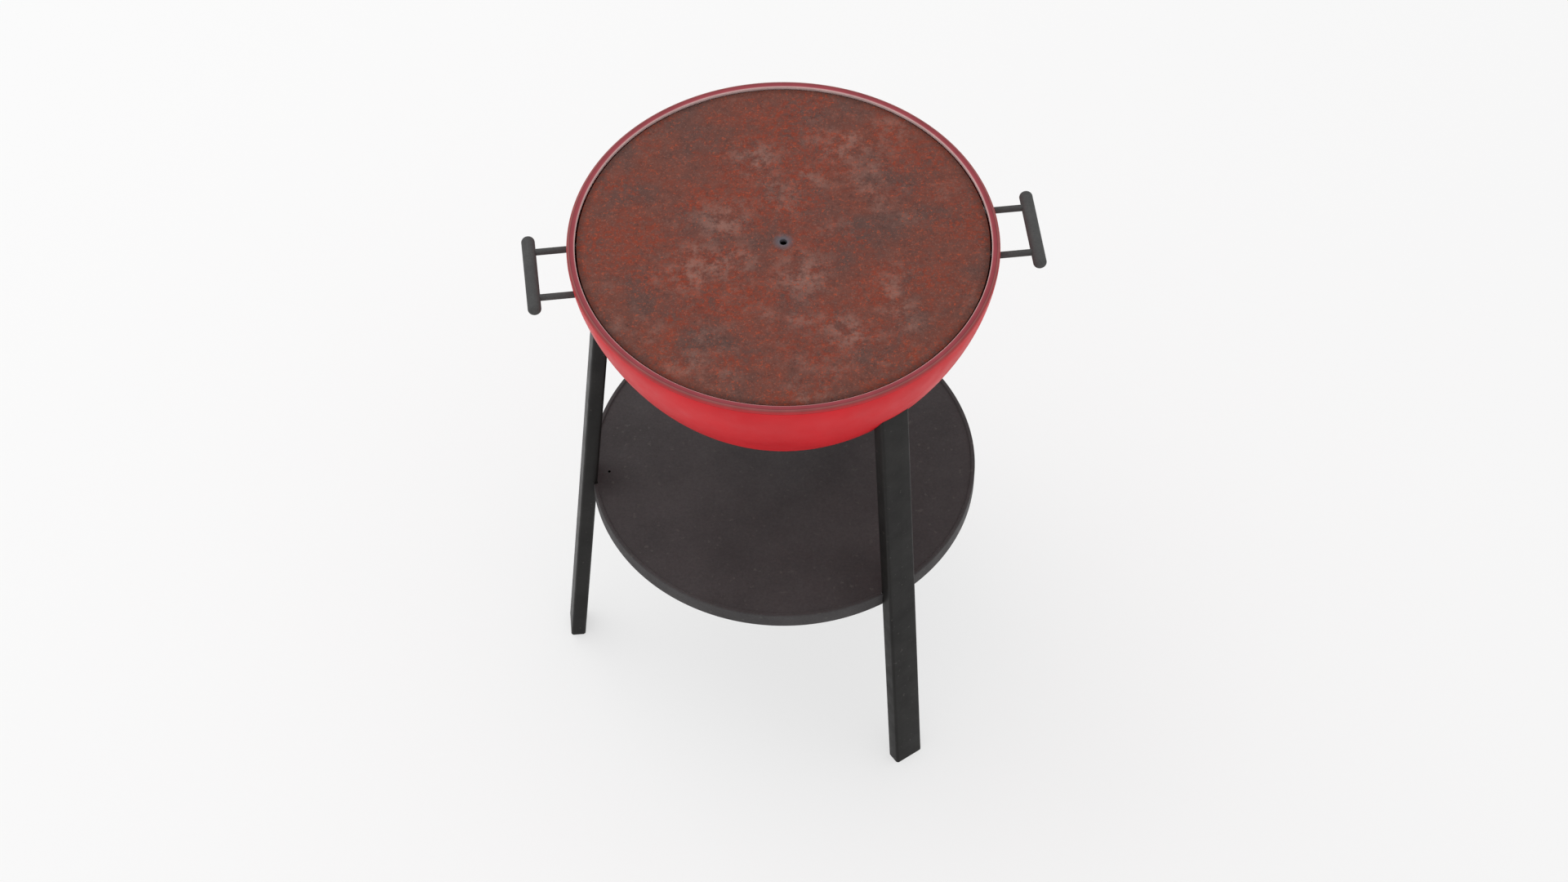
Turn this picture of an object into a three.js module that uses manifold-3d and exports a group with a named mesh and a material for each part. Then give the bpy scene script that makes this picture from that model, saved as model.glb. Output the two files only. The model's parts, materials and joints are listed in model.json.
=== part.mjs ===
// Coal forge: an enamelled steel bowl on three splayed legs, with a loose hearth plate, two carrying
// handles, an ash shelf and, under the bowl, a cast tuyere with an air damper and a weighted ash flap.
// Millimetres, +Z up. The origin is on the floor under the centre of the bowl; the handles lie on the X axis.
import * as THREE from "three";
import { mergeVertices } from "three/addons/utils/BufferGeometryUtils.js";
import Module from "manifold-3d";

const wasm = await Module();
wasm.setup();

// Overall
const rimHeight = 853; // floor to the top of the rim
const rimRadius = 285; // outside of the rim band
const fitGap = 0.3; // between pieces that seat on each other
const roundSides = 60; // facets of the large round pieces, a multiple of 12
const tubeSides = 32; // facets of the tuyere's tubes
const holeSides = 12;

// Bowl and rim
const sheet = 3; // bowl wall
const bandWidth = 10.8;
const bandHeight = 6;
const bandReveal = 0.3; // the band stands proud of the bowl by this much
const bowlDrop = 298; // top edge of the bowl to its lowest point
const wallPower = 1.48; // 2 would make the wall an ellipse; less makes it lean in sooner

// Hearth plate and its ledges
const plateThickness = 6;
const plateSink = 3; // rim top to plate top
const plateClearance = 2.3; // plate edge to rim band
const blastHoleRadius = 5;
const ledgeAngles = [90, 210, 330];
const ledgeWidth = 26;
const ledgeReach = 24; // how far a ledge lies under the plate
const ledgeThickness = 4;
const ledgeDrop = 34; // height of the gusset under a ledge

// Handles
const rodRadius = 4.5;
const rodDrop = 24.4; // rim top to rod centre
const rodSpacing = 78;
const gripRadius = 9;
const gripLength = 128;
const gripReach = 48; // rim band to grip centre
const rodSeat = 3; // how far a rod runs past the grip's centre
const rodFit = 0.15;
const washerRadius = 9;
const washerThickness = 4;
const rodNutAcross = 14;
const rodNutHeight = 6.5;
const rodTail = 4; // thread that shows past the nut

// Legs
const legTurn = -1.8; // the tripod stands this far round from the handles
const legAngles = [180, 300, 60].map((angle) => angle + legTurn);
const legWidth = 44;
const legDepth = 21.5;
const legWall = 2;
const legCorner = 3.9;
const footRadius = rimRadius + 25.7; // axis to leg centre at the floor
const legLean = 5.15; // degrees from upright
const legBlockLength = 34;
const legBoltRadius = 3;
const legBoltSpread = 21;
const legBoltGrip = 7; // how deep a bolt runs into the leg's end block
const boltHeadHeight = 4;
const boltAcross = 10;
const boltSeat = 1.2; // under a bolt head on the curved wall
const boltClearance = 0.4;
const plugHeight = 14;
const plugLift = 1; // floor to plug

// Shelf
const shelfDrop = 476.6; // rim top to the top of the shelf's lip
const shelfNotch = 6.5; // how far a leg stands into the shelf's edge
const shelfSheet = 2.5;
const shelfLip = 6; // width of the rolled lip
const lipRise = 3; // deck to lip top
const shelfSkirt = 23.3; // lip top to skirt edge
const notchClearance = 0.6;
const bracketWidth = 30;
const bracketThickness = 3;
const bracketReach = 32;
const bracketDrop = 28;
const screwRadius = 2.5;
const screwHeadRadius = 5;
const screwHeadHeight = 3;
const screwDepth = 17; // bracket top to screw
const screwLength = 10;
const rivetRadius = 2.4;
const rivetHeadRadius = 4.5;
const rivetHeadHeight = 2;
const rivetInset = 18; // leg face to rivet

// Tuyere
const dropRadius = 30; // outside of the vertical drop tube
const castWall = 5;
const dropLength = 95; // bowl bottom to the mouth of the drop tube
const flangeRadius = dropRadius + 18;
const flangeThickness = 7;
const flangeBoltCircle = dropRadius + 10;
const flangeBoltAngles = [30, 150, 270];
const flangeNutHeight = 5;
const inletRadius = 24;
const inletWall = 4;
const inletDrop = 50; // bowl bottom to inlet centre
const inletReach = 155;
const pipeWall = 3.2;
const pipeSeat = 24; // how far the blast pipe runs down into the drop tube
const pipeCollarRadius = dropRadius + 2;
const pipeCollarHeight = 4;
const pipeTopGap = 3; // blast pipe to hearth plate

// Ash flap
const flapOverlap = 3; // flap edge past the drop tube
const flapThickness = 4;
const flapAngle = 90; // the flap's parts are drawn with their arm along -Y and turned by this much
const flapGap = 0.5;
const pinRadius = 2.5;
const pinClearance = 0.4;
const pinHeadRadius = 4.2;
const pinHeadHeight = 2;
const pinStandOff = 10; // drop tube to pin centre
const knuckleRadius = 6;
const knuckleWidth = 16;
const earThickness = 4;
const earGap = 0.6;
const armRadius = 4;
const armLength = 72; // pin to the end of the arm
const weightRadius = 15;
const weightLength = 30;
const weightInset = 4; // arm end past the weight

// Air damper
const damperReach = 92; // axis to spindle
const damperThickness = 2;
const damperClearance = 0.6;
const damperHubRadius = 5;
const spindleRadius = 3;
const spindleFit = 0.15;
const spindleHeadRadius = 5.5;
const spindleHeadHeight = 2.5;
const leverLength = 66;
const leverWidth = 14;
const leverThickness = 4;
const leverDrop = 6; // inlet tube to lever
const knobRadius = 9;
const knobStem = 4;

const degree = Math.PI / 180;

// Colours and surfaces
const redEnamel = { color: 0xc8343a, roughness: 0.38, metalness: 0.0 };
const rimEnamel = { color: 0x96494f, roughness: 0.45, metalness: 0.0 };
const rustedSteel = { color: 0x70443a, roughness: 0.9, metalness: 0.2 };
const blackPaint = { color: 0x2f2d2c, roughness: 0.55, metalness: 0.1 };
const handlePaint = { color: 0x4b4b4b, roughness: 0.7, metalness: 0.1 };
const shelfPaint = { color: 0x3b3838, roughness: 0.6, metalness: 0.1 };
const plainSteel = { color: 0x8c8c8a, roughness: 0.4, metalness: 0.9 };
const castIron = { color: 0x3a3937, roughness: 0.8, metalness: 0.4 };
const blackPlastic = { color: 0x1c1c1c, roughness: 0.6, metalness: 0.0 };

// A closed geometry as a solid that can be joined and cut.
function solidOf(geometry) {
  const bare = geometry.clone();
  bare.deleteAttribute("normal");
  bare.deleteAttribute("uv");
  const merged = mergeVertices(bare, 1e-4);
  return new wasm.Manifold(
    new wasm.Mesh({
      numProp: 3,
      vertProperties: new Float32Array(merged.getAttribute("position").array),
      triVerts: new Uint32Array(merged.index.array),
    }),
  );
}

function geometryOf(solid) {
  const mesh = solid.getMesh();
  const geometry = new THREE.BufferGeometry();
  geometry.setAttribute("position", new THREE.BufferAttribute(mesh.vertProperties, 3));
  geometry.setIndex(new THREE.BufferAttribute(mesh.triVerts, 1));
  const flat = geometry.toNonIndexed();
  flat.computeVertexNormals();
  return flat;
}

function join(...pieces) {
  return geometryOf(pieces.map(solidOf).reduce((whole, piece) => whole.add(piece)));
}

function cut(blank, ...tools) {
  return geometryOf(tools.map(solidOf).reduce((left, tool) => left.subtract(tool), solidOf(blank)));
}

function trim(blank, envelope) {
  return geometryOf(solidOf(blank).intersect(solidOf(envelope)));
}

// A section of [radius, height] points turned round the Z axis, faces outwards whichever way it is drawn.
function turned(section, sides = roundSides) {
  const points = section.map(([radius, height]) => new THREE.Vector2(radius, height));
  if (THREE.ShapeUtils.area(points) < 0) points.reverse();
  const closes = points[0].x > 0 || points.at(-1).x > 0;
  if (closes) points.push(points[0].clone());
  return geometryOf(solidOf(new THREE.LatheGeometry(points, sides).rotateX(Math.PI / 2)));
}

// An upright cylinder that starts at z = 0.
function bar(radius, length, sides = holeSides) {
  return new THREE.CylinderGeometry(radius, radius, length, sides)
    .rotateX(Math.PI / 2)
    .translate(0, 0, length / 2);
}

function alongX(geometry) {
  return geometry.rotateY(Math.PI / 2);
}

function alongY(geometry) {
  return geometry.rotateX(-Math.PI / 2);
}

function box(xLow, xHigh, yLow, yHigh, zLow, zHigh) {
  return new THREE.BoxGeometry(xHigh - xLow, yHigh - yLow, zHigh - zLow).translate(
    (xLow + xHigh) / 2,
    (yLow + yHigh) / 2,
    (zLow + zHigh) / 2,
  );
}

// A hexagon of the given width across flats.
function hexagon(across, height) {
  return bar(across / 2 / Math.cos(30 * degree), height, 6);
}

// Head up, shank down from z = 0.
function hexBolt(across, headHeight, radius, length) {
  return join(hexagon(across, headHeight), bar(radius, length + 1).translate(0, 0, -length));
}

function hexNut(across, height, bore) {
  return cut(hexagon(across, height), bar(bore, height + 2).translate(0, 0, -1));
}

function roundedBlock(depth, width, corner, length) {
  const x = depth / 2;
  const y = width / 2;
  const outline = new THREE.Shape();
  outline.moveTo(-x + corner, -y);
  outline.lineTo(x - corner, -y);
  outline.absarc(x - corner, -y + corner, corner, -Math.PI / 2, 0);
  outline.lineTo(x, y - corner);
  outline.absarc(x - corner, y - corner, corner, 0, Math.PI / 2);
  outline.lineTo(-x + corner, y);
  outline.absarc(-x + corner, y - corner, corner, Math.PI / 2, Math.PI);
  outline.lineTo(-x, -y + corner);
  outline.absarc(-x + corner, -y + corner, corner, Math.PI, 1.5 * Math.PI);
  return new THREE.ExtrudeGeometry(outline, { depth: length, bevelEnabled: false, curveSegments: 2 });
}

function named(name, geometry, finish) {
  const mesh = new THREE.Mesh(geometry, new THREE.MeshStandardMaterial(finish));
  mesh.name = name;
  return mesh;
}

// A group turned to an angle round the forge's axis; inside it, +X points outwards.
function spoke(angle, ...meshes) {
  const group = new THREE.Group();
  group.rotation.z = angle * degree;
  group.add(...meshes);
  return group;
}

// Bowl: in section, the outer wall's squared radius falls with a power of the depth below the top edge.
// An offset moves the wall outwards.
const bowlTop = rimHeight - bandHeight - fitGap;
const bowlEdgeRadius = rimRadius - bandReveal;
const bowlBottom = bowlTop - bowlDrop;
const bowlHoleRadius = dropRadius - castWall + 1;

function wallRadius(height, offset = 0) {
  const share = (bowlTop - height) / (bowlDrop + offset);
  return (bowlEdgeRadius + offset) * Math.sqrt(1 - share ** wallPower);
}

function wallHeight(radius, offset = 0) {
  const share = radius / (bowlEdgeRadius + offset);
  return bowlTop - (bowlDrop + offset) * (1 - share ** 2) ** (1 / wallPower);
}

// Points down the wall, from its top edge to the given radius.
function wallCurve(lowRadius, offset = 0, steps = 12) {
  const edge = bowlEdgeRadius + offset;
  const end = Math.asin(lowRadius / edge);
  return Array.from({ length: steps + 1 }, (unused, i) => {
    const angle = Math.PI / 2 + ((end - Math.PI / 2) * i) / steps;
    const radius = i === 0 ? edge : edge * Math.sin(angle);
    return [radius, wallHeight(radius, offset)];
  });
}

// The solid that the wall encloses, for trimming what seats against its outside or its inside.
function wallFill(offset) {
  return turned([
    ...wallCurve(bowlHoleRadius, offset),
    [0, bowlBottom - offset],
    [0, bowlTop],
  ]);
}

const bowlOutside = wallFill(fitGap);
const bowlInside = wallFill(-sheet - fitGap);
// The same facets as the bowl's, seen from a leg.
const bowlAtLeg = bowlOutside.clone().rotateZ(-legTurn * degree);

// Legs, in the radial plane of each leg
const lean = legLean * degree;
const legSlope = Math.tan(lean);

// A prism that stands on the leg's axis, from one length along it to another.
function onLeg(geometry, start) {
  return geometry.translate(0, 0, start).rotateY(-lean).translate(footRadius, 0, 0);
}

// Height at which the leg's centre line meets the outside of the bowl, found by halving.
function legMeetsBowl() {
  let low = bowlBottom;
  let high = bowlTop;
  for (let i = 0; i < 40; i += 1) {
    const middle = (low + high) / 2;
    if (footRadius - legSlope * middle > wallRadius(middle)) low = middle;
    else high = middle;
  }
  return low;
}

const legJointHeight = legMeetsBowl();
const legJointRadius = footRadius - legSlope * legJointHeight;
// Slope of the wall's outward normal below the horizontal, where the leg meets it.
const legJointDip = Math.atan2(
  (wallPower * (bowlTop - legJointHeight) ** (wallPower - 1)) / bowlDrop ** wallPower,
  (2 * legJointRadius) / bowlEdgeRadius ** 2,
);
const legJointLength = legJointHeight / Math.cos(lean);

// Something on a leg bolt's axis: z = 0 at the outside of the wall, +z into the bowl.
function onLegBolt(geometry, side) {
  return geometry
    .rotateY(legJointDip - Math.PI / 2)
    .translate(legJointRadius, (side * legBoltSpread) / 2, legJointHeight);
}

function legBoltHoles(radius) {
  return [-1, 1].map((side) => onLegBolt(bar(radius, 60).translate(0, 0, -30), side));
}

// Shelf levels
const lipTop = rimHeight - shelfDrop;
const deckTop = lipTop - lipRise;
const deckUnder = deckTop - shelfSheet;
const bracketTop = deckUnder - fitGap;

function legFace(height) {
  return footRadius - legDepth / 2 / Math.cos(lean) - height * legSlope;
}

const shelfRadius = legFace(lipTop) + shelfNotch;
const bracketFace = legFace(bracketTop) - fitGap;
const rivetPlace = bracketFace - rivetInset;

// Something on a shelf screw's axis: z = 0 on the leg's inner face, +z towards the middle.
function onShelfScrew(geometry) {
  const height = bracketTop - screwDepth;
  return geometry.rotateY(-Math.PI / 2 - lean).translate(legFace(height), 0, height);
}

// Handles
const rodHeight = rimHeight - rodDrop;
const gripPlace = rimRadius + gripReach;
const rodWall = Math.sqrt(wallRadius(rodHeight, -sheet) ** 2 - (rodSpacing / 2) ** 2);
const washerInner = rodWall - washerThickness - 1;
const nutInner = washerInner - fitGap - rodNutHeight;

function onRod(geometry, start, side) {
  return alongX(geometry).translate(start, (side * rodSpacing) / 2, rodHeight);
}

function makeBowl() {
  const outer = wallCurve(bowlHoleRadius);
  const inner = wallCurve(bowlHoleRadius, -sheet).reverse();
  const rodHoles = [0, 180].flatMap((angle) =>
    [-1, 1].map((side) =>
      onRod(bar(rodRadius + rodFit, 60), rodWall - 20, side).rotateZ(angle * degree),
    ),
  );
  const legHoles = legAngles.flatMap((angle) =>
    legBoltHoles(legBoltRadius + boltClearance).map((hole) => hole.rotateZ(angle * degree)),
  );
  return cut(turned([...outer, ...inner]), ...rodHoles, ...legHoles, ...flangeHoles());
}

// The band's section: a flat hoop with rounded top edges.
function makeRimBand() {
  const inside = rimRadius - bandWidth;
  const innerRound = 1.8;
  const outerRound = 3.8;
  const arc = (x, z, radius, start) =>
    [0, 45, 90].map((turn) => [
      x + radius * Math.cos((start - turn) * degree),
      z + radius * Math.sin((start - turn) * degree),
    ]);
  return turned([
    [inside, rimHeight - bandHeight],
    ...arc(inside + innerRound, rimHeight - innerRound, innerRound, 180),
    ...arc(rimRadius - outerRound, rimHeight - outerRound, outerRound, 90),
    [rimRadius, rimHeight - bandHeight],
  ]);
}

const plateTop = rimHeight - plateSink;
const plateUnder = plateTop - plateThickness;

function makeHearthPlate() {
  const edge = rimRadius - bandWidth - plateClearance;
  const chamfer = 0.8;
  return turned([
    [blastHoleRadius, plateUnder],
    [edge - chamfer, plateUnder],
    [edge, plateUnder + chamfer],
    [edge, plateTop - chamfer],
    [edge - chamfer, plateTop],
    [blastHoleRadius, plateTop],
  ]);
}

// A tab with a gusset under it, cut to the inside of the wall.
function makeLedge() {
  const top = plateUnder - fitGap;
  const start = rimRadius - bandWidth - plateClearance - ledgeReach;
  const tab = box(start, rimRadius, -ledgeWidth / 2, ledgeWidth / 2, top - ledgeThickness, top);
  const web = new THREE.Shape([
    new THREE.Vector2(start + 4, top - ledgeThickness / 2),
    new THREE.Vector2(rimRadius, top - ledgeThickness / 2),
    new THREE.Vector2(rimRadius, top - ledgeDrop - 10),
    new THREE.Vector2(wallRadius(top - ledgeDrop) - 8, top - ledgeDrop),
  ]);
  const gusset = new THREE.ExtrudeGeometry(web, { depth: ledgeThickness, bevelEnabled: false })
    .rotateX(Math.PI / 2)
    .translate(0, ledgeThickness / 2, 0);
  return trim(join(tab, gusset), bowlInside);
}

function makeGrip() {
  const round = 7;
  const half = gripLength / 2;
  const end = [0, 30, 60, 90].map((turn) => [
    gripRadius - round + round * Math.sin(turn * degree),
    half - round + round * Math.cos(turn * degree),
  ]);
  const other = end.map(([radius, height]) => [radius, -height]).reverse();
  const grip = alongY(turned([[0, half], ...end, ...other, [0, -half]], 20));
  const holes = [-1, 1].map((side) =>
    onRod(bar(rodRadius + rodFit, gripReach + rodSeat + fitGap), rimRadius - gripPlace, side).translate(
      0,
      0,
      -rodHeight,
    ),
  );
  return cut(grip, ...holes).translate(gripPlace, 0, rodHeight);
}

function makeRod(side) {
  const start = nutInner - rodTail;
  return onRod(bar(rodRadius, gripPlace + rodSeat - start), start, side);
}

// A thick washer whose outer face follows the wall.
function makeRodWasher(side) {
  const blank = onRod(bar(washerRadius, 30, 20), washerInner, side);
  const hole = onRod(bar(rodRadius + rodFit, 60), washerInner - 10, side);
  return cut(trim(blank, bowlInside), hole);
}

function makeRodNut(side) {
  return onRod(hexNut(rodNutAcross, rodNutHeight, rodRadius + rodFit), nutInner, side);
}

function makeLeg() {
  const long = legJointLength + 60;
  const inner = legCorner - legWall;
  const tube = onLeg(roundedBlock(legDepth, legWidth, legCorner, long), -10);
  const hollow = onLeg(
    roundedBlock(legDepth - 2 * legWall, legWidth - 2 * legWall, inner, long + 20),
    -20,
  );
  const floor = box(footRadius - 60, footRadius + 60, -60, 60, -40, 0);
  const screwHole = onShelfScrew(bar(screwRadius + boltClearance, 8).translate(0, 0, -6));
  return cut(tube, hollow, floor, bowlAtLeg, screwHole);
}

// A prism that fills the leg's tube with the fitting gap all round.
function legFill(length) {
  return roundedBlock(
    legDepth - 2 * (legWall + fitGap),
    legWidth - 2 * (legWall + fitGap),
    legCorner - legWall,
    length,
  );
}

function makeLegBlock() {
  const blank = onLeg(legFill(legBlockLength + 40), legJointLength - legBlockLength);
  return cut(blank, bowlAtLeg, ...legBoltHoles(legBoltRadius + rodFit));
}

function makeLegBolt(side) {
  const head = sheet + boltSeat;
  const bolt = hexBolt(boltAcross, boltHeadHeight, legBoltRadius, head + legBoltGrip);
  return onLegBolt(bolt.translate(0, 0, head), side);
}

function makeFootPlug() {
  const blank = onLeg(legFill(plugHeight + 10), -10);
  return cut(blank, box(footRadius - 60, footRadius + 60, -60, 60, -40, plugLift));
}

function makeShelf() {
  const inside = shelfRadius - shelfLip;
  const pan = turned([
    [0, deckTop],
    [inside - 1, deckTop],
    [inside + 0.4, lipTop - 1],
    [inside + 1.8, lipTop],
    [shelfRadius - 1.8, lipTop],
    [shelfRadius - 0.5, lipTop - 0.5],
    [shelfRadius, lipTop - 1.8],
    [shelfRadius, lipTop - shelfSkirt],
    [shelfRadius - shelfSheet, lipTop - shelfSkirt],
    [shelfRadius - shelfSheet, deckUnder],
    [0, deckUnder],
  ]);
  const notch = onLeg(
    roundedBlock(
      legDepth + 2 * notchClearance,
      legWidth + 2 * notchClearance,
      legCorner,
      shelfSkirt + 80,
    ),
    lipTop - shelfSkirt - 40,
  );
  const rivetHole = bar(rivetRadius + boltClearance, 20).translate(rivetPlace, 0, deckUnder - 10);
  const cuts = legAngles.flatMap((angle) => [
    notch.clone().rotateZ(angle * degree),
    rivetHole.clone().rotateZ(angle * degree),
  ]);
  return cut(pan, ...cuts);
}

// An angle under the shelf: one flange on the leg's inner face, one under the deck.
function makeShelfBracket() {
  const low = bracketTop - bracketDrop;
  const section = new THREE.Shape([
    new THREE.Vector2(bracketFace, bracketTop),
    new THREE.Vector2(bracketFace - bracketReach, bracketTop),
    new THREE.Vector2(bracketFace - bracketReach, bracketTop - bracketThickness),
    new THREE.Vector2(bracketFace - bracketThickness, bracketTop - bracketThickness),
    new THREE.Vector2(legFace(low) - fitGap - bracketThickness, low),
    new THREE.Vector2(legFace(low) - fitGap, low),
  ]);
  const angle = new THREE.ExtrudeGeometry(section, { depth: bracketWidth, bevelEnabled: false })
    .rotateX(Math.PI / 2)
    .translate(0, bracketWidth / 2, 0);
  const screwHole = onShelfScrew(bar(screwRadius + boltClearance, 20).translate(0, 0, -10));
  const rivetHole = bar(rivetRadius + boltClearance, 20).translate(rivetPlace, 0, bracketTop - 10);
  return cut(angle, screwHole, rivetHole);
}

function makeShelfScrew() {
  const seat = bracketThickness + 2 * fitGap;
  const screw = join(
    bar(screwHeadRadius, screwHeadHeight, holeSides),
    bar(screwRadius, screwLength + 1).translate(0, 0, -screwLength),
  );
  return onShelfScrew(screw.translate(0, 0, seat));
}

// Head under the bracket, the other end flush with the deck.
function makeShelfRivet() {
  const seat = bracketTop - bracketThickness - fitGap;
  const rivet = join(
    bar(rivetHeadRadius, rivetHeadHeight, holeSides).translate(0, 0, seat - rivetHeadHeight),
    bar(rivetRadius, deckTop - seat + 1).translate(0, 0, seat - 1),
  );
  return rivet.translate(rivetPlace, 0, 0);
}

// Tuyere levels
const boreRadius = dropRadius - castWall;
const mouthHeight = bowlBottom - dropLength;
const inletHeight = bowlBottom - inletDrop;
const inletBore = inletRadius - inletWall;
const flangeFace = wallHeight(dropRadius) - fitGap - flangeThickness;
const pinPlace = -dropRadius - pinStandOff;
const pinHeight = mouthHeight - flapGap - flapThickness / 2;
const earInner = knuckleWidth / 2 + earGap;

// Points along the outside of the bowl's bottom, lowered by a drop.
function underBowl(inner, outer, drop, steps = 4) {
  return Array.from({ length: steps + 1 }, (unused, i) => {
    const radius = inner + ((outer - inner) * i) / steps;
    return [radius, wallHeight(radius) - drop];
  });
}

function flapPinHole() {
  return alongX(bar(pinRadius + pinClearance, 60)).translate(-30, pinPlace, pinHeight);
}

function flangeHoles() {
  return flangeBoltAngles.map((angle) =>
    bar(legBoltRadius + boltClearance, 80)
      .translate(flangeBoltCircle, 0, bowlBottom - 40)
      .rotateZ(angle * degree),
  );
}

// Drop tube with its flange, air inlet and the two ears that carry the flap's pin.
function makeTuyereBody() {
  const seat = underBowl(boreRadius, flangeRadius, fitGap);
  const drop = turned([
    ...seat,
    [flangeRadius, flangeFace],
    [dropRadius + 3, flangeFace],
    [dropRadius, flangeFace - 3],
    [dropRadius, mouthHeight],
    [boreRadius, mouthHeight],
  ], tubeSides);
  const inlet = alongY(bar(inletRadius, inletReach, tubeSides)).translate(0, 0, inletHeight);
  const ears = [-1, 1].map((side) => {
    const near = side > 0 ? earInner : -earInner - earThickness;
    const plate = box(
      near,
      near + earThickness,
      pinPlace - knuckleRadius,
      -boreRadius,
      pinHeight,
      mouthHeight + 20,
    );
    const end = alongX(bar(knuckleRadius, earThickness, 16)).translate(near, pinPlace, pinHeight);
    return join(plate, end).rotateZ(flapAngle * degree);
  });
  const mouthTrim = bar(dropRadius + flapOverlap + 1.5, 40, tubeSides).translate(0, 0, mouthHeight - 40);
  const bore = bar(boreRadius, dropLength + 40, tubeSides).translate(0, 0, mouthHeight - 20);
  const inletHollow = alongY(bar(inletBore, inletReach + 10, tubeSides)).translate(0, 0, inletHeight);
  const spindleHole = bar(spindleRadius + spindleFit, 80).translate(
    0,
    damperReach,
    inletHeight - 40,
  );
  const pinHole = flapPinHole().rotateZ(flapAngle * degree);
  const holes = [bore, inletHollow, spindleHole, pinHole, ...flangeHoles()];
  return cut(join(drop, inlet, ...ears), mouthTrim, ...holes);
}

function makeBlastPipe() {
  const outside = boreRadius - fitGap;
  const inside = outside - pipeWall;
  const collar = wallHeight(pipeCollarRadius, -sheet) + boltSeat;
  return turned(
    [
      [inside, bowlBottom - pipeSeat],
      [outside, bowlBottom - pipeSeat],
      [outside, collar],
      [pipeCollarRadius, collar],
      [pipeCollarRadius, collar + pipeCollarHeight],
      [outside, collar + pipeCollarHeight],
      [outside, plateUnder - pipeTopGap],
      [inside, plateUnder - pipeTopGap],
    ],
    tubeSides,
  );
}

const flangeNutSeat = wallHeight(flangeBoltCircle + boltAcross / 1.7, -sheet) + boltSeat;

function makeFlangeBolt() {
  const long = flangeNutSeat + flangeNutHeight + 2 - flangeFace;
  const bolt = hexBolt(boltAcross, boltHeadHeight, legBoltRadius, long);
  return bolt.rotateX(Math.PI).translate(flangeBoltCircle, 0, flangeFace - fitGap);
}

function makeFlangeNut() {
  const nut = hexNut(boltAcross, flangeNutHeight, legBoltRadius + rodFit);
  return nut.translate(flangeBoltCircle, 0, flangeNutSeat);
}

// Disc, knuckle and arm in one casting.
function makeAshFlap() {
  const low = pinHeight - flapThickness / 2;
  const disc = bar(dropRadius + flapOverlap, flapThickness, tubeSides).translate(0, 0, low);
  const tongue = box(
    -knuckleWidth / 2,
    knuckleWidth / 2,
    pinPlace,
    -boreRadius,
    low,
    low + flapThickness,
  );
  const knuckle = alongX(bar(knuckleRadius, knuckleWidth, 16)).translate(
    -knuckleWidth / 2,
    pinPlace,
    pinHeight,
  );
  const arm = alongY(bar(armRadius, armLength)).translate(0, pinPlace - armLength, pinHeight);
  return cut(join(disc, tongue, knuckle, arm), flapPinHole());
}

function makeFlapPin() {
  const half = earInner + earThickness + earGap;
  const shank = alongX(bar(pinRadius, 2 * half)).translate(-half, 0, 0);
  const heads = [-half - pinHeadHeight, half - 0.01].map((start) =>
    alongX(bar(pinHeadRadius, pinHeadHeight + 0.01)).translate(start, 0, 0),
  );
  return join(shank, ...heads).translate(0, pinPlace, pinHeight);
}

function makeFlapWeight() {
  const chamfer = 2;
  const bore = armRadius + spindleFit;
  const weight = turned(
    [
      [bore, 0],
      [weightRadius - chamfer, 0],
      [weightRadius, chamfer],
      [weightRadius, weightLength - chamfer],
      [weightRadius - chamfer, weightLength],
      [bore, weightLength],
    ],
    20,
  );
  return alongY(weight).translate(0, pinPlace - armLength + weightInset, pinHeight);
}

function makeDamperDisc() {
  const radius = inletBore - damperClearance;
  const disc = alongY(bar(radius, damperThickness, tubeSides)).translate(0, -damperThickness / 2, 0);
  const hubHalf = Math.sqrt(radius ** 2 - damperHubRadius ** 2) - 0.3;
  const hub = bar(damperHubRadius, 2 * hubHalf, holeSides).translate(0, 0, -hubHalf);
  const hole = bar(spindleRadius + spindleFit, 80).translate(0, 0, -40);
  return cut(join(disc, hub), hole).translate(0, damperReach, inletHeight);
}

const leverHeight = inletHeight - inletRadius - leverDrop - leverThickness;

function makeSpindle() {
  const top = inletHeight + inletRadius + 1;
  const low = leverHeight - 2;
  const spindle = join(
    bar(spindleRadius, top - low + 1).translate(0, 0, low),
    bar(spindleHeadRadius, spindleHeadHeight, holeSides).translate(0, 0, top),
  );
  return spindle.translate(0, damperReach, 0);
}

// A flat lever on the spindle, pointing the way the damper's disc lies.
function makeLever() {
  const outline = new THREE.Shape();
  const half = leverWidth / 2;
  outline.absarc(0, 0, half, Math.PI / 2, 1.5 * Math.PI);
  outline.lineTo(leverLength, -half);
  outline.absarc(leverLength, 0, half, -Math.PI / 2, Math.PI / 2);
  const blade = new THREE.ExtrudeGeometry(outline, {
    depth: leverThickness,
    bevelEnabled: false,
    curveSegments: 6,
  });
  const holes = [spindleRadius + spindleFit, knobStem + spindleFit].map((radius, i) =>
    bar(radius, 20).translate(i * leverLength, 0, -10),
  );
  return cut(blade, ...holes).translate(0, damperReach, leverHeight);
}

function makeKnob() {
  const stem = leverThickness + fitGap;
  const ball = new THREE.SphereGeometry(knobRadius, 16, 10).rotateX(Math.PI / 2);
  const knob = join(ball.translate(0, 0, -knobRadius * 0.9), bar(knobStem, stem + 3).translate(0, 0, -3));
  const flatTop = box(-20, 20, -20, 20, 0, 20);
  const neck = bar(knobStem, stem);
  return join(cut(knob, flatTop), neck.translate(0, 0, -0.01)).translate(
    leverLength,
    damperReach,
    leverHeight - fitGap,
  );
}

const forge = new THREE.Group();
forge.name = "coal_forge";
forge.add(named("bowl", makeBowl(), redEnamel));
forge.add(named("rim_band", makeRimBand(), rimEnamel));
forge.add(named("hearth_plate", makeHearthPlate(), rustedSteel));
forge.add(named("shelf", makeShelf(), shelfPaint));

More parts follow.
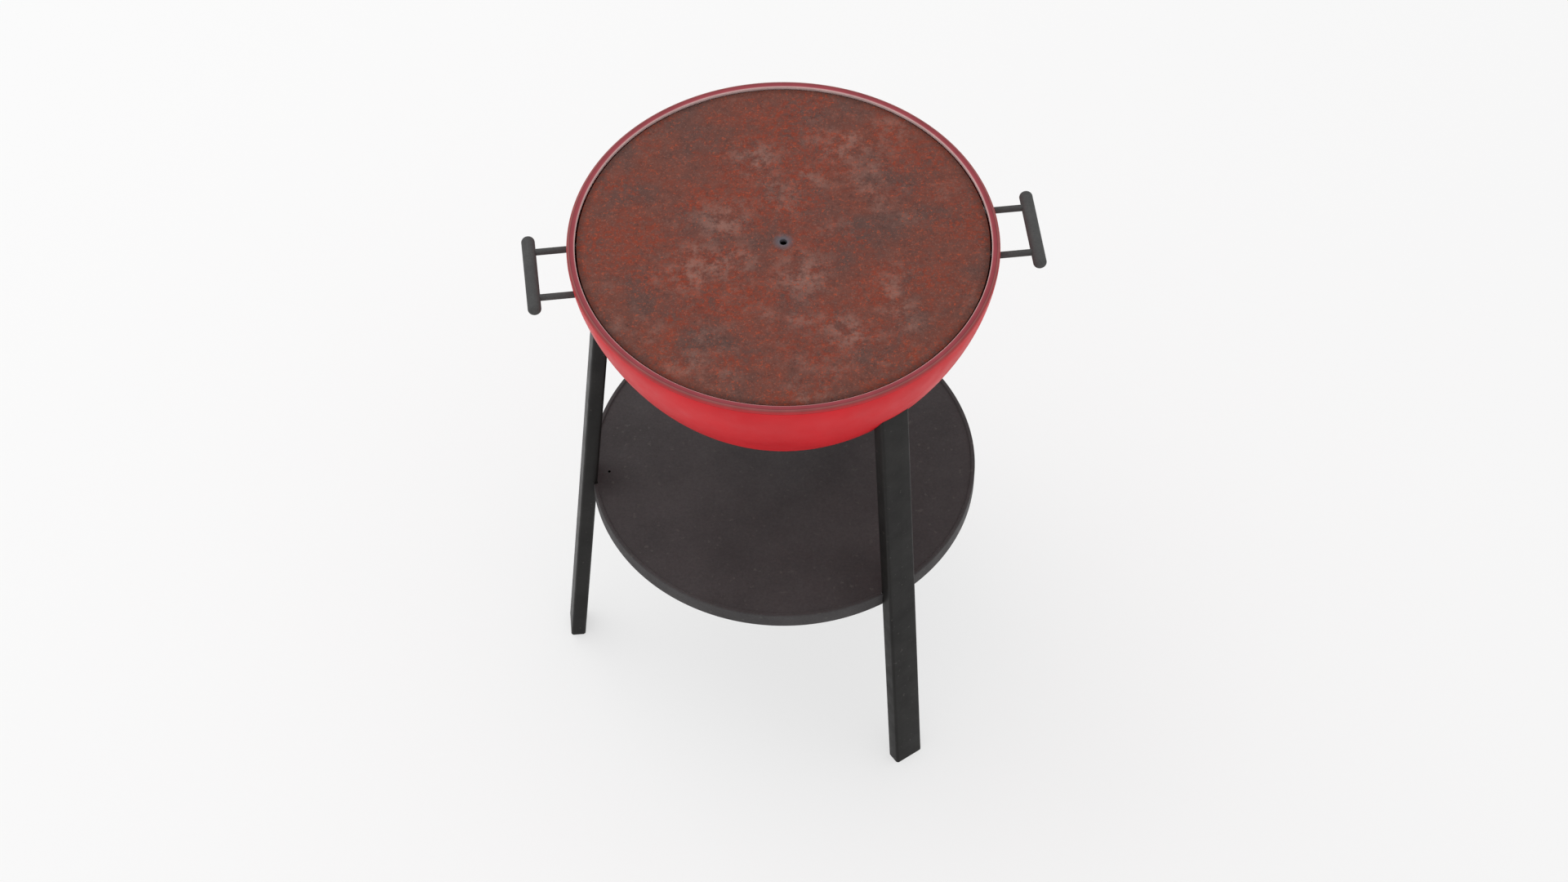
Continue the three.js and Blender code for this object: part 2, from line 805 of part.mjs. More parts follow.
ledgeAngles.forEach((angle, i) => {
  forge.add(spoke(angle, named(`plate_ledge_${i + 1}`, makeLedge(), rustedSteel)));
});

[["right", 0], ["left", 180]].forEach(([hand, angle]) => {
  const handle = spoke(angle, named(`handle_grip_${hand}`, makeGrip(), handlePaint));
  [["a", -1], ["b", 1]].forEach(([mark, side]) => {
    handle.add(named(`handle_rod_${hand}_${mark}`, makeRod(side), handlePaint));
    handle.add(named(`rod_washer_${hand}_${mark}`, makeRodWasher(side), plainSteel));
    handle.add(named(`rod_nut_${hand}_${mark}`, makeRodNut(side), plainSteel));
  });
  forge.add(handle);
});

legAngles.forEach((angle, i) => {
  const place = ["left", "front", "rear"][i];
  forge.add(
    spoke(
      angle,
      named(`leg_${place}`, makeLeg(), blackPaint),
      named(`leg_block_${place}`, makeLegBlock(), blackPaint),
      named(`leg_bolt_${place}_a`, makeLegBolt(-1), plainSteel),
      named(`leg_bolt_${place}_b`, makeLegBolt(1), plainSteel),
      named(`foot_plug_${place}`, makeFootPlug(), blackPlastic),
      named(`shelf_bracket_${place}`, makeShelfBracket(), blackPaint),
      named(`shelf_screw_${place}`, makeShelfScrew(), plainSteel),
      named(`shelf_rivet_${place}`, makeShelfRivet(), shelfPaint),
    ),
  );
});

flangeBoltAngles.forEach((angle, i) => {
  forge.add(
    spoke(
      angle,
      named(`flange_bolt_${i + 1}`, makeFlangeBolt(), plainSteel),
      named(`flange_nut_${i + 1}`, makeFlangeNut(), plainSteel),
    ),
  );
});

forge.add(named("tuyere_body", makeTuyereBody(), castIron));
forge.add(named("blast_pipe", makeBlastPipe(), castIron));
forge.add(
  spoke(
    flapAngle,
    named("ash_flap", makeAshFlap(), castIron),
    named("ash_flap_pin", makeFlapPin(), plainSteel),
    named("ash_flap_weight", makeFlapWeight(), castIron),
  ),
);
forge.add(named("damper_disc", makeDamperDisc(), plainSteel));
forge.add(named("damper_spindle", makeSpindle(), plainSteel));
forge.add(named("damper_lever", makeLever(), plainSteel));
forge.add(named("damper_knob", makeKnob(), blackPlastic));

export default forge;
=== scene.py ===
import bpy
import json
import math
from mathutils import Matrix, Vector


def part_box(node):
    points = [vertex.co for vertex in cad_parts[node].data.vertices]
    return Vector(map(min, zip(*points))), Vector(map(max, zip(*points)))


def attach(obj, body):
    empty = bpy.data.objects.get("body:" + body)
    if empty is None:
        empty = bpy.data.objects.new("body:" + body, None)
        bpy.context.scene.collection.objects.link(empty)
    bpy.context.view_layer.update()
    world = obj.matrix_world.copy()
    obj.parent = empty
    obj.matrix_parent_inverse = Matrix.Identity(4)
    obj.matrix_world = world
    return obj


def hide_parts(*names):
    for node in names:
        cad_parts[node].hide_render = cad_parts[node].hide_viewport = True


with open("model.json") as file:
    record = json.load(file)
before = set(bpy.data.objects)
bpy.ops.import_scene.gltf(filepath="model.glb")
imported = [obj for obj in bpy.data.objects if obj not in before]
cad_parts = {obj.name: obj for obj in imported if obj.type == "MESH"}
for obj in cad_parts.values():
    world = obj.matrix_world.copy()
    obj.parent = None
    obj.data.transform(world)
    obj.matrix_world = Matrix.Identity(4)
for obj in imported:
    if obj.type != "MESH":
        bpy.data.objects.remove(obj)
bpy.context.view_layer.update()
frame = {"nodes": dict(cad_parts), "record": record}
nodes = frame["nodes"]

# Camera, floor and light
view = {"place": (-0.3483, -2.9064, 4.2840), "tilt": 37.12, "turn": -6.85, "lens": 78.75, "sensor": 36}
studio = {"floorSize": 14, "floorTone": 0.36, "floorGlow": 0.57, "sky": 0.92, "keyPower": 26, "keySize": 2.6, "keyPlace": (-1.5, 1.3, 3.4)}

cameraData = bpy.data.cameras.new("bench_camera")
cameraData.lens = view["lens"]
cameraData.sensor_width = view["sensor"]
benchCamera = bpy.data.objects.new("bench_camera", cameraData)
benchCamera.location = view["place"]
benchCamera.rotation_euler = (math.radians(view["tilt"]), 0, math.radians(view["turn"]))
bpy.context.scene.collection.objects.link(benchCamera)
bpy.context.scene.camera = benchCamera
bpy.context.scene.view_settings.view_transform = "Standard"
print("camera set")


def dropSelection():
    if bpy.context.object and bpy.context.object.mode != "OBJECT":
        bpy.ops.object.mode_set(mode="OBJECT")
    bpy.ops.object.select_all(action="DESELECT")


def pickOnly(piece):
    dropSelection()
    piece.select_set(True)
    bpy.context.view_layer.objects.active = piece


def settle(piece, move=(0, 0, 0), turn=(0, 0, 0)):
    # moves and turns the piece, then puts its place in its mesh
    pickOnly(piece)
    piece.rotation_euler = [math.radians(t) for t in turn]
    piece.location = move
    bpy.ops.object.transform_apply(location=True, rotation=True, scale=True)


def twin(piece, name, move=(0, 0, 0), turn=(0, 0, 0)):
    other = piece.copy()
    other.data = piece.data.copy()
    other.name = name
    bpy.context.scene.collection.objects.link(other)
    settle(other, move, turn)
    return other


def carve(piece, tool, mode="DIFFERENCE"):
    pickOnly(piece)
    cutting = piece.modifiers.new("carve", "BOOLEAN")
    cutting.operation = mode
    cutting.solver = "EXACT"
    cutting.object = tool
    bpy.ops.object.modifier_apply(modifier=cutting.name)


def discard(*tools):
    for tool in tools:
        bpy.data.objects.remove(tool, do_unlink=True)


def smoothOff(piece, angle=35):
    pickOnly(piece)
    bpy.ops.object.shade_smooth_by_angle(angle=math.radians(angle))


def faceOut(piece):
    pickOnly(piece)
    bpy.ops.object.mode_set(mode="EDIT")
    bpy.ops.mesh.select_all(action="SELECT")
    bpy.ops.mesh.normals_make_consistent(inside=False)
    bpy.ops.object.mode_set(mode="OBJECT")


def turnedPiece(name, section, sides=144, ring=True):
    # one ring of edges, drawn out and resized from each (radius, height) to the next
    dropSelection()
    radius, height = section[0]
    bpy.ops.mesh.primitive_circle_add(vertices=sides, radius=radius, location=(0, 0, height))
    piece = bpy.context.object
    piece.name = name
    bpy.ops.object.transform_apply(location=True, rotation=True, scale=True)
    bpy.ops.object.mode_set(mode="EDIT")
    bpy.ops.mesh.select_mode(type="EDGE")
    bpy.ops.mesh.select_all(action="SELECT")
    for newRadius, newHeight in section[1:]:
        bpy.ops.mesh.extrude_region_move(TRANSFORM_OT_translate={"value": (0, 0, newHeight - height)})
        grow = newRadius / radius
        bpy.ops.transform.resize(value=(grow, grow, 1), center_override=(0, 0, newHeight))
        radius, height = newRadius, newHeight
    bpy.ops.mesh.select_all(action="DESELECT")
    bpy.ops.mesh.select_non_manifold()
    if ring:
        bpy.ops.mesh.bridge_edge_loops()
    else:
        bpy.ops.mesh.fill_holes(sides=0)
    bpy.ops.object.mode_set(mode="OBJECT")
    faceOut(piece)
    smoothOff(piece)
    return piece


def roundedBar(name, depth, width, corner, low, high, segments=6):
    # an upright bar with its four long edges rounded
    dropSelection()
    bpy.ops.mesh.primitive_cube_add(size=1, location=(0, 0, (low + high) / 2))
    piece = bpy.context.object
    piece.name = name
    piece.scale = (depth, width, high - low)
    bpy.ops.object.transform_apply(location=True, rotation=True, scale=True)
    bpy.ops.object.mode_set(mode="EDIT")
    bpy.ops.mesh.select_mode(type="EDGE")
    bpy.ops.mesh.select_all(action="DESELECT")
    bpy.ops.object.mode_set(mode="OBJECT")
    for edge in piece.data.edges:
        a, b = [piece.data.vertices[i].co for i in edge.vertices]
        edge.select = abs(a.z - b.z) > 0.001
    bpy.ops.object.mode_set(mode="EDIT")
    bpy.ops.mesh.bevel(offset=corner, segments=segments, affect="EDGES")
    bpy.ops.object.mode_set(mode="OBJECT")
    return piece


def mergedCopy(node, name):
    piece = nodes[node].copy()
    piece.data = nodes[node].data.copy()
    piece.name = name
    bpy.context.scene.collection.objects.link(piece)
    world = nodes[node].matrix_world.copy()
    piece.parent = None
    piece.matrix_world = world
    pickOnly(piece)
    bpy.ops.object.mode_set(mode="EDIT")
    bpy.ops.mesh.select_all(action="SELECT")
    bpy.ops.mesh.remove_doubles(threshold=0.00002)
    bpy.ops.mesh.dissolve_limited(angle_limit=math.radians(0.5))
    bpy.ops.object.mode_set(mode="OBJECT")
    return piece


def finishedCopy(node, bevel=0.0003, angle=40):
    # a small part's own shape with its sharp edges broken
    piece = mergedCopy(node, "fine_" + node)
    edging = piece.modifiers.new("edging", "BEVEL")
    edging.width = bevel
    edging.segments = 2
    edging.limit_method = "ANGLE"
    edging.angle_limit = math.radians(angle)
    edging.use_clamp_overlap = True
    bpy.ops.object.modifier_apply(modifier=edging.name)
    smoothOff(piece, 38)
    return piece


# Finishes
def startLook(name, rough=0.5, metal=0.0):
    look = bpy.data.materials.new(name)
    look.use_nodes = True
    tree = look.node_tree
    shader = tree.nodes["Principled BSDF"]
    shader.inputs["Roughness"].default_value = rough
    shader.inputs["Metallic"].default_value = metal
    place = tree.nodes.new("ShaderNodeTexCoord").outputs["Object"]
    return look, tree, shader, place


def grain(tree, place, scale, detail=4, rough=0.55, stretch=(1, 1, 1)):
    mapping = tree.nodes.new("ShaderNodeMapping")
    mapping.inputs["Scale"].default_value = stretch
    tree.links.new(place, mapping.inputs["Vector"])
    noise = tree.nodes.new("ShaderNodeTexNoise")
    noise.inputs["Scale"].default_value = scale
    noise.inputs["Detail"].default_value = detail
    noise.inputs["Roughness"].default_value = rough
    tree.links.new(mapping.outputs["Vector"], noise.inputs["Vector"])
    return noise.outputs["Fac"]


def ramp(tree, value, stops):
    node = tree.nodes.new("ShaderNodeValToRGB")
    tree.links.new(value, node.inputs["Fac"])
    points = node.color_ramp.elements
    while len(points) < len(stops):
        points.new(0.5)
    for point, (at, colour) in zip(points, stops):
        point.position = at
        point.color = (*colour, 1) if len(colour) == 3 else colour
    return node.outputs["Color"]


def tone(value):
    return (value, value, value)


def blendColour(tree, share, first, second, way="MIX"):
    node = tree.nodes.new("ShaderNodeMix")
    node.data_type = "RGBA"
    node.blend_type = way
    if isinstance(share, (int, float)):
        node.inputs[0].default_value = share
    else:
        tree.links.new(share, node.inputs[0])
    for socket, colour in ((node.inputs[6], first), (node.inputs[7], second)):
        if isinstance(colour, tuple):
            socket.default_value = (*colour, 1)
        else:
            tree.links.new(colour, socket)
    return node.outputs[2]


def relief(tree, shader, height, strength, depth, under=None):
    node = tree.nodes.new("ShaderNodeBump")
    node.inputs["Strength"].default_value = strength
    node.inputs["Distance"].default_value = depth
    tree.links.new(height, node.inputs["Height"])
    if under is not None:
        tree.links.new(under, node.inputs["Normal"])
    tree.links.new(node.outputs["Normal"], shader.inputs["Normal"])
    return node.outputs["Normal"]


def axisDistance(tree, place):
    # how far a point is from the upright axis
    split = tree.nodes.new("ShaderNodeSeparateXYZ")
    tree.links.new(place, split.inputs["Vector"])
    flat = tree.nodes.new("ShaderNodeCombineXYZ")
    tree.links.new(split.outputs["X"], flat.inputs["X"])
    tree.links.new(split.outputs["Y"], flat.inputs["Y"])
    length = tree.nodes.new("ShaderNodeVectorMath")
    length.operation = "LENGTH"
    tree.links.new(flat.outputs["Vector"], length.inputs[0])
    return length.outputs["Value"]


def spotDistance(tree, place, spot):
    # how far a point is from one spot of the plate, seen from above
    shift = tree.nodes.new("ShaderNodeMapping")
    shift.inputs["Location"].default_value = (-spot[0], -spot[1], 0)
    tree.links.new(place, shift.inputs["Vector"])
    return axisDistance(tree, shift.outputs["Vector"])


def rescale(tree, value, low, high):
    node = tree.nodes.new("ShaderNodeMapRange")
    node.inputs["From Min"].default_value = low
    node.inputs["From Max"].default_value = high
    tree.links.new(value, node.inputs["Value"])
    return node.outputs["Result"]


def heightOf(tree, place):
    split = tree.nodes.new("ShaderNodeSeparateXYZ")
    tree.links.new(place, split.inputs["Vector"])
    return split.outputs["Z"]


def plainLook(name, dark, light, patch=18, fine=260, rough=(0.4, 0.6), metal=0.0, bump=(0.15, 0.0004),
              specks=None, stretch=(1, 1, 1), shine=0.15):
    # two tones in soft patches, a fine grain over them, uneven gloss and a slight relief
    look, tree, shader, place = startLook(name, rough[0], metal)
    patches = ramp(tree, grain(tree, place, patch, 5), [(0.32, dark), (0.68, light)])
    speckle = ramp(tree, grain(tree, place, fine, 3, 0.7, stretch), [(0.3, tone(0.86)), (0.7, tone(1.12))])
    colour = blendColour(tree, 1.0, patches, speckle, "MULTIPLY")
    if specks:
        spots = ramp(tree, grain(tree, place, specks[0], 2), [(specks[1], tone(0)), (specks[1] + 0.05, tone(1))])
        colour = blendColour(tree, spots, colour, specks[2])
    tree.links.new(colour, shader.inputs["Base Color"])
    gloss = ramp(tree, grain(tree, place, patch * 3, 4, 0.6, stretch), [(0.3, tone(rough[0])), (0.7, tone(rough[1]))])
    tree.links.new(gloss, shader.inputs["Roughness"])
    relief(tree, shader, grain(tree, place, fine, 4, 0.6, stretch), bump[0], bump[1])
    shader.inputs["Specular IOR Level"].default_value = shine
    return look


# bowl colours: low and high are painted shade, the enamel darker towards the bottom and lighter near the top; dull is
# dust
bowlTonesWithPaintedShade = {"low": (0.50, 0.012, 0.019), "high": (0.60, 0.014, 0.021), "dull": (0.50, 0.022, 0.030)}


def bowlLook():
    look, tree, shader, place = startLook("red_enamel", 0.4)
    # painted shade: the enamel is darker towards the bottom of the bowl, lighter near the top
    paintedShadeByHeight = rescale(tree, heightOf(tree, place), 0.55, 0.84)
    body = ramp(tree, paintedShadeByHeight, [(0.0, bowlTonesWithPaintedShade["low"]), (0.75, bowlTonesWithPaintedShade["high"]), (1.0, bowlTonesWithPaintedShade["high"])])
    cloud = ramp(tree, grain(tree, place, 9, 5), [(0.35, tone(0.92)), (0.65, tone(1.05))])
    colour = blendColour(tree, 1.0, body, cloud, "MULTIPLY")
    dust = ramp(tree, grain(tree, place, 420, 3, 0.7), [(0.62, tone(0)), (0.72, tone(0.35))])
    colour = blendColour(tree, dust, colour, bowlTonesWithPaintedShade["dull"])
    tree.links.new(colour, shader.inputs["Base Color"])
    gloss = ramp(tree, grain(tree, place, 26, 4), [(0.3, tone(0.34)), (0.7, tone(0.5))])
    tree.links.new(gloss, shader.inputs["Roughness"])
    relief(tree, shader, grain(tree, place, 190, 3), 0.12, 0.0004)
    shader.inputs["Specular IOR Level"].default_value = 0.09
    return look


# rim colours across the top, inner edge 0 to outer edge 1: a painted highlight along the inner edge, the band's own
# dark red, a thin dark line where the top meets the outer rounding, a painted highlight line on that rounding, then a
# duller band before the red of the outer edge
rimTonesWithPaintedLight = {
    "inner": 0.2742, "outer": 0.285,
    "bands": [(0.0, (0.66, 0.46, 0.44)), (0.05, (0.60, 0.38, 0.37)), (0.13, (0.36, 0.095, 0.105)),
              (0.24, (0.275, 0.046, 0.058)), (0.55, (0.265, 0.042, 0.052)), (0.62, (0.15, 0.032, 0.036)),
              (0.70, (0.29, 0.085, 0.082)), (0.86, (0.255, 0.060, 0.060)), (1.0, (0.44, 0.03, 0.036))],
}


def rimLook():
    look, tree, shader, place = startLook("rim_enamel", 0.45)
    across = rescale(tree, axisDistance(tree, place), rimTonesWithPaintedLight["inner"], rimTonesWithPaintedLight["outer"])
    # the bands carry a painted highlight on the inner edge and another on the outer rounding
    bands = ramp(tree, across, rimTonesWithPaintedLight["bands"])
    cloud = ramp(tree, grain(tree, place, 30, 5, 0.65), [(0.3, tone(0.88)), (0.7, tone(1.1))])
    colour = blendColour(tree, 1.0, bands, cloud, "MULTIPLY")
    chips = ramp(tree, grain(tree, place, 330, 3, 0.7), [(0.66, tone(0)), (0.74, tone(0.5))])
    colour = blendColour(tree, chips, colour, (0.20, 0.09, 0.08))
    tree.links.new(colour, shader.inputs["Base Color"])
    gloss = ramp(tree, grain(tree, place, 60, 4), [(0.3, tone(0.36)), (0.7, tone(0.52))])
    tree.links.new(gloss, shader.inputs["Roughness"])
    relief(tree, shader, grain(tree, place, 260, 3), 0.15, 0.0003)
    shader.inputs["Specular IOR Level"].default_value = 0.14
    return look


rustFinish = {"brown": (0.105, 0.040, 0.031), "warm": (0.165, 0.056, 0.040), "grey": (0.082, 0.050, 0.044),
              "red": (0.215, 0.040, 0.022), "pale": (0.28, 0.140, 0.112), "orange": (0.42, 0.072, 0.028),
              "dark": (0.048, 0.024, 0.021), "stain": (0.105, 0.120, 0.145),
              "worn": ((-0.075, 0.045), (-0.02, 0.15), (0.02, -0.06))}


def rustLook():
    look, tree, shader, place = startLook("rusted_steel", 0.85, 0.0)
    base = ramp(tree, grain(tree, place, 75, 9, 0.8), [(0.34, rustFinish["brown"]), (0.64, rustFinish["warm"])])
    greyer = ramp(tree, grain(tree, place, 15, 8, 0.7), [(0.44, tone(0)), (0.60, tone(0.85))])
    colour = blendColour(tree, greyer, base, rustFinish["grey"])
    broadRed = ramp(tree, grain(tree, place, 11, 6, 0.66, (1, 1.3, 1)), [(0.42, tone(0.12)), (0.58, tone(1.0))])
    brokenRed = ramp(tree, grain(tree, place, 120, 8, 0.8), [(0.44, tone(0)), (0.57, tone(1.0))])
    colour = blendColour(tree, blendColour(tree, 1.0, broadRed, brokenRed, "MULTIPLY"), colour, rustFinish["red"])
    broad = ramp(tree, grain(tree, place, 9, 5, 0.6), [(0.5, tone(0.06)), (0.66, tone(0.7))])
    for spot, reach in zip(rustFinish["worn"], (0.055, 0.05, 0.06)):
        near = rescale(tree, spotDistance(tree, place, spot), 0.0, reach)
        patch = ramp(tree, near, [(0.2, tone(0.7)), (1.0, tone(0))])
        broad = blendColour(tree, 1.0, broad, patch, "LIGHTEN")
    broken = ramp(tree, grain(tree, place, 48, 9, 0.78), [(0.45, tone(0)), (0.58, tone(1))])
    pale = blendColour(tree, 1.0, broad, broken, "MULTIPLY")
    colour = blendColour(tree, pale, colour, rustFinish["pale"])
    pits = ramp(tree, grain(tree, place, 130, 7, 0.8), [(0.34, tone(0.6)), (0.46, tone(0))])
    colour = blendColour(tree, pits, colour, rustFinish["dark"])
    dust = ramp(tree, grain(tree, place, 430, 4, 0.8), [(0.55, tone(0)), (0.68, tone(0.6))])
    colour = blendColour(tree, dust, colour, rustFinish["pale"])
    flecks = ramp(tree, grain(tree, place, 230, 5, 0.8), [(0.56, tone(0)), (0.66, tone(0.8))])
    colour = blendColour(tree, flecks, colour, rustFinish["orange"])
    away = axisDistance(tree, place)
    stain = ramp(tree, rescale(tree, away, 0.0, 0.02), [(0.25, tone(0.75)), (0.75, tone(0))])
    colour = blendColour(tree, stain, colour, rustFinish["stain"])
    # painted shade: the plate darkens towards its edge, where the rim band shades it
    edge = ramp(tree, rescale(tree, away, 0.262, 0.272), [(0.0, tone(1)), (0.8, tone(0.66))])
    colour = blendColour(tree, 1.0, colour, edge, "MULTIPLY")
    tree.links.new(colour, shader.inputs["Base Color"])
    gloss = ramp(tree, grain(tree, place, 120, 4), [(0.3, tone(0.72)), (0.7, tone(0.95))])
    tree.links.new(gloss, shader.inputs["Roughness"])
    shader.inputs["Specular IOR Level"].default_value = 0.15
    first = relief(tree, shader, grain(tree, place, 150, 6, 0.75), 0.5, 0.0007)
    relief(tree, shader, grain(tree, place, 900, 3, 0.7), 0.4, 0.0002, first)
    return look


looks = {
    "red_enamel": bowlLook(),
    "rim_enamel": rimLook(),
    "rusted_steel": rustLook(),
    "dark_steel": plainLook("dark_steel", (0.05, 0.04, 0.036), (0.085, 0.065, 0.055), 30, 300, (0.7, 0.9), 0.2,
                            (0.4, 0.0006), (240, 0.6, (0.16, 0.06, 0.035))),
    "handle_paint": plainLook("handle_paint", (0.062, 0.062, 0.062), (0.072, 0.072, 0.071), 40, 420, (0.6, 0.75),
                              0.0, (0.2, 0.0002), (500, 0.66, (0.05, 0.05, 0.05))),
    "leg_paint": plainLook("leg_paint", (0.008, 0.0074, 0.0070), (0.014, 0.0130, 0.0122), 14, 380, (0.38, 0.52),
                           0.0, (0.12, 0.0003), (160, 0.68, (0.04, 0.037, 0.034)), (1, 1, 1), 0.13),
    "shelf_paint": plainLook("shelf_paint", (0.045, 0.0415, 0.0425), (0.062, 0.0575, 0.0585), 9, 320, (0.45, 0.68),
                             0.0, (0.15, 0.0003), (120, 0.66, (0.07, 0.066, 0.064))),
    "zinc_steel": plainLook("zinc_steel", (0.34, 0.34, 0.33), (0.46, 0.46, 0.45), 60, 500, (0.28, 0.46), 0.9,
                            (0.1, 0.0002), (260, 0.66, (0.22, 0.20, 0.17)), (1, 1, 1), 0.5),
    "cast_iron": plainLook("cast_iron", (0.036, 0.034, 0.033), (0.060, 0.057, 0.055), 22, 260, (0.6, 0.85), 0.35,
                           (0.6, 0.0008), (130, 0.64, (0.10, 0.055, 0.035))),
    "black_plastic": plainLook("black_plastic", (0.011, 0.011, 0.011), (0.017, 0.017, 0.017), 50, 900, (0.5, 0.65),
                               0.0, (0.3, 0.0002)),
}
slotOf = {row["node"]: row["material_slot"] for row in frame["record"]["subparts"]}
for nodeName, slotName in slotOf.items():
    nodes[nodeName].data.materials.clear()
    nodes[nodeName].data.materials.append(looks[slotName])
print("finishes made:", len(looks))


bodyOf = {name: body for body, members in frame["record"]["behaviour"]["bodies"].items() for name in members}


def fit(piece, *nodeNames):
    # the piece takes the place, finish and body of these nodes
    slotName = slotOf[nodeNames[0]]
    piece.data.materials.clear()
    piece.data.materials.append(looks[slotName])
    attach(piece, bodyOf[nodeNames[0]])
    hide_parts(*nodeNames)


# Bowl: its squared radius falls with a power of the depth below its top edge
bowl = {"edge": 0.2847, "drop": 0.298, "power": 1.48, "sheet": 0.003, "hole": 0.026, "steps": 34}
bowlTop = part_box("bowl")[1][2]


def wallPoint(share, offset):
    # share runs from 0 at the top edge to 1 at the hole
    edge = bowl["edge"] + offset
    end = math.asin(bowl["hole"] / edge)
    radius = edge * math.sin(math.pi / 2 + (end - math.pi / 2) * share)
    fall = (bowl["drop"] + offset) * max(0.0, 1 - (radius / edge) ** 2) ** (1 / bowl["power"])
    return radius, bowlTop - fall


def wallSection(offset):
    return [wallPoint(i / bowl["steps"], offset) for i in range(bowl["steps"] + 1)]


outerWall = wallSection(0)
innerWall = wallSection(-bowl["sheet"])
bowlShell = turnedPiece("bowl_shell", outerWall + innerWall[::-1])
# holes for what passes through the wall
for nodeName in sorted(nodes):
    if nodeName.startswith(("leg_bolt", "flange_bolt")):
        tool = mergedCopy(nodeName, "hole_tool")
        carve(bowlShell, tool)
        discard(tool)
for nodeName in sorted(nodes):
    if nodeName.startswith("handle_rod"):
        low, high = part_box(nodeName)
        radius = (high[2] - low[2]) / 2 + 0.00015
        tool = turnedPiece("hole_tool", [(radius, 0), (radius, high[0] - low[0])], 40, False)
        settle(tool, (low[0], (low[1] + high[1]) / 2, (low[2] + high[2]) / 2), (0, 90, 0))
        carve(bowlShell, tool)
        discard(tool)
smoothOff(bowlShell)
fit(bowlShell, "bowl")
print("bowl", len(bowlShell.data.polygons))

# Rim band: a flat hoop, its outer edge fully rounded
rim = {"inner": 0.2742, "outer": 0.285, "height": 0.006, "innerRound": 0.0018, "outerRound": 0.0038, "steps": 8}
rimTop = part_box("rim_band")[1][2]


def roundCorner(radius, height, size, start, steps):
    turns = [math.radians(start - 90 * i / steps) for i in range(steps + 1)]
    return [(radius + size * math.cos(t), height + size * math.sin(t)) for t in turns]


rimSection = [(rim["inner"] + 0.0004, rimTop - rim["height"]), (rim["inner"], rimTop - rim["height"] + 0.0004)]
rimSection += roundCorner(rim["inner"] + rim["innerRound"], rimTop - rim["innerRound"], rim["innerRound"], 180, 6)
rimSection += roundCorner(rim["outer"] - rim["outerRound"], rimTop - rim["outerRound"], rim["outerRound"], 90,
                          rim["steps"])
rimSection += [(rim["outer"], rimTop - rim["height"] + 0.0005), (rim["outer"] - 0.0005, rimTop - rim["height"])]
rimHoop = turnedPiece("rim_hoop", rimSection, 192)
fit(rimHoop, "rim_band")
print("rim", len(rimHoop.data.polygons))

# Hearth plate with its blast hole
plate = {"edge": 0.2719, "hole": 0.005, "chamfer": 0.0008}
plateLow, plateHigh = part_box("hearth_plate")[0][2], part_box("hearth_plate")[1][2]
plateSection = [(plate["hole"], plateLow + 0.0003), (plate["hole"] + 0.0003, plateLow)]
plateSection += [(0.09, plateLow), (0.18, plateLow), (plate["edge"] - plate["chamfer"], plateLow)]
plateSection += [(plate["edge"] - 0.0002, plateLow + 0.0003), (plate["edge"], plateLow + plate["chamfer"])]
plateSection += [(plate["edge"], plateHigh - 0.0012)]
plateSection += [(plate["edge"] - 0.00035, plateHigh - 0.00035), (plate["edge"] - 0.0012, plateHigh)]
plateSection += [(0.24, plateHigh), (0.2, plateHigh), (0.15, plateHigh), (0.1, plateHigh), (0.05, plateHigh)]
plateSection += [(0.02, plateHigh), (plate["hole"] + 0.0006, plateHigh), (plate["hole"], plateHigh - 0.0006)]
hearthDisc = turnedPiece("hearth_disc", plateSection, 192)
fit(hearthDisc, "hearth_plate")
print("plate", len(hearthDisc.data.polygons))

# Legs: rectangular tubes, coped to the bowl, cut level at the floor
leg = {"width": 0.044, "depth": 0.0215, "wall": 0.002, "corner": 0.0039, "foot": 0.3107, "lean": 5.15, "length": 0.80,
       "angles": {"leg_left": 178.2, "leg_front": 298.2, "leg_rear": 58.2}}
legTube = roundedBar("leg_tube", leg["depth"], leg["width"], leg["corner"], -0.02, leg["length"])
legBore = roundedBar("leg_bore", leg["depth"] - 2 * leg["wall"], leg["width"] - 2 * leg["wall"],
                     leg["corner"] - leg["wall"], -0.04, leg["length"] + 0.02)
carve(legTube, legBore)
settle(legTube, (leg["foot"], 0, 0), (0, -leg["lean"], 0))
bowlFill = turnedPiece("bowl_fill", wallSection(0.0003) + [(0.0005, bowlTop - bowl["drop"] - 0.0003)], 144, False)
floorBlock = roundedBar("floor_block", 0.3, 0.3, 0.001, -0.3, 0.0)
settle(floorBlock, (leg["foot"], 0, 0))
carve(legTube, bowlFill)
carve(legTube, floorBlock)
smoothOff(legTube, 30)
for legName, angle in leg["angles"].items():
    tube = twin(legTube, legName + "_tube", (0, 0, 0), (0, 0, angle))
    fit(tube, legName)
    print(legName, len(tube.data.polygons))

# Ash shelf: a pan with a rolled lip and a skirt, notched round the legs
shelf = {"radius": 0.2725, "lip": 0.006, "rise": 0.003, "skirt": 0.0233, "sheet": 0.0025, "gap": 0.0006}
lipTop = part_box("shelf")[1][2]
deckTop = lipTop - shelf["rise"]
outside, inside = shelf["radius"], shelf["radius"] - shelf["lip"]
shelfSection = [(0.0008, deckTop), (0.06, deckTop), (0.12, deckTop), (0.18, deckTop), (0.23, deckTop)]
shelfSection += [(inside - 0.0012, deckTop), (inside - 0.0005, deckTop + 0.0002), (inside + 0.0002, deckTop + 0.001)]
shelfSection += [(inside + 0.0006, lipTop - 0.0008), (inside + 0.0011, lipTop - 0.0002), (inside + 0.0019, lipTop)]
shelfSection += roundCorner(outside - 0.0018, lipTop - 0.0018, 0.0018, 90, 6)
skirtEnd = lipTop - shelf["skirt"]
shelfSection += [(outside, skirtEnd + 0.0003), (outside - 0.0003, skirtEnd)]
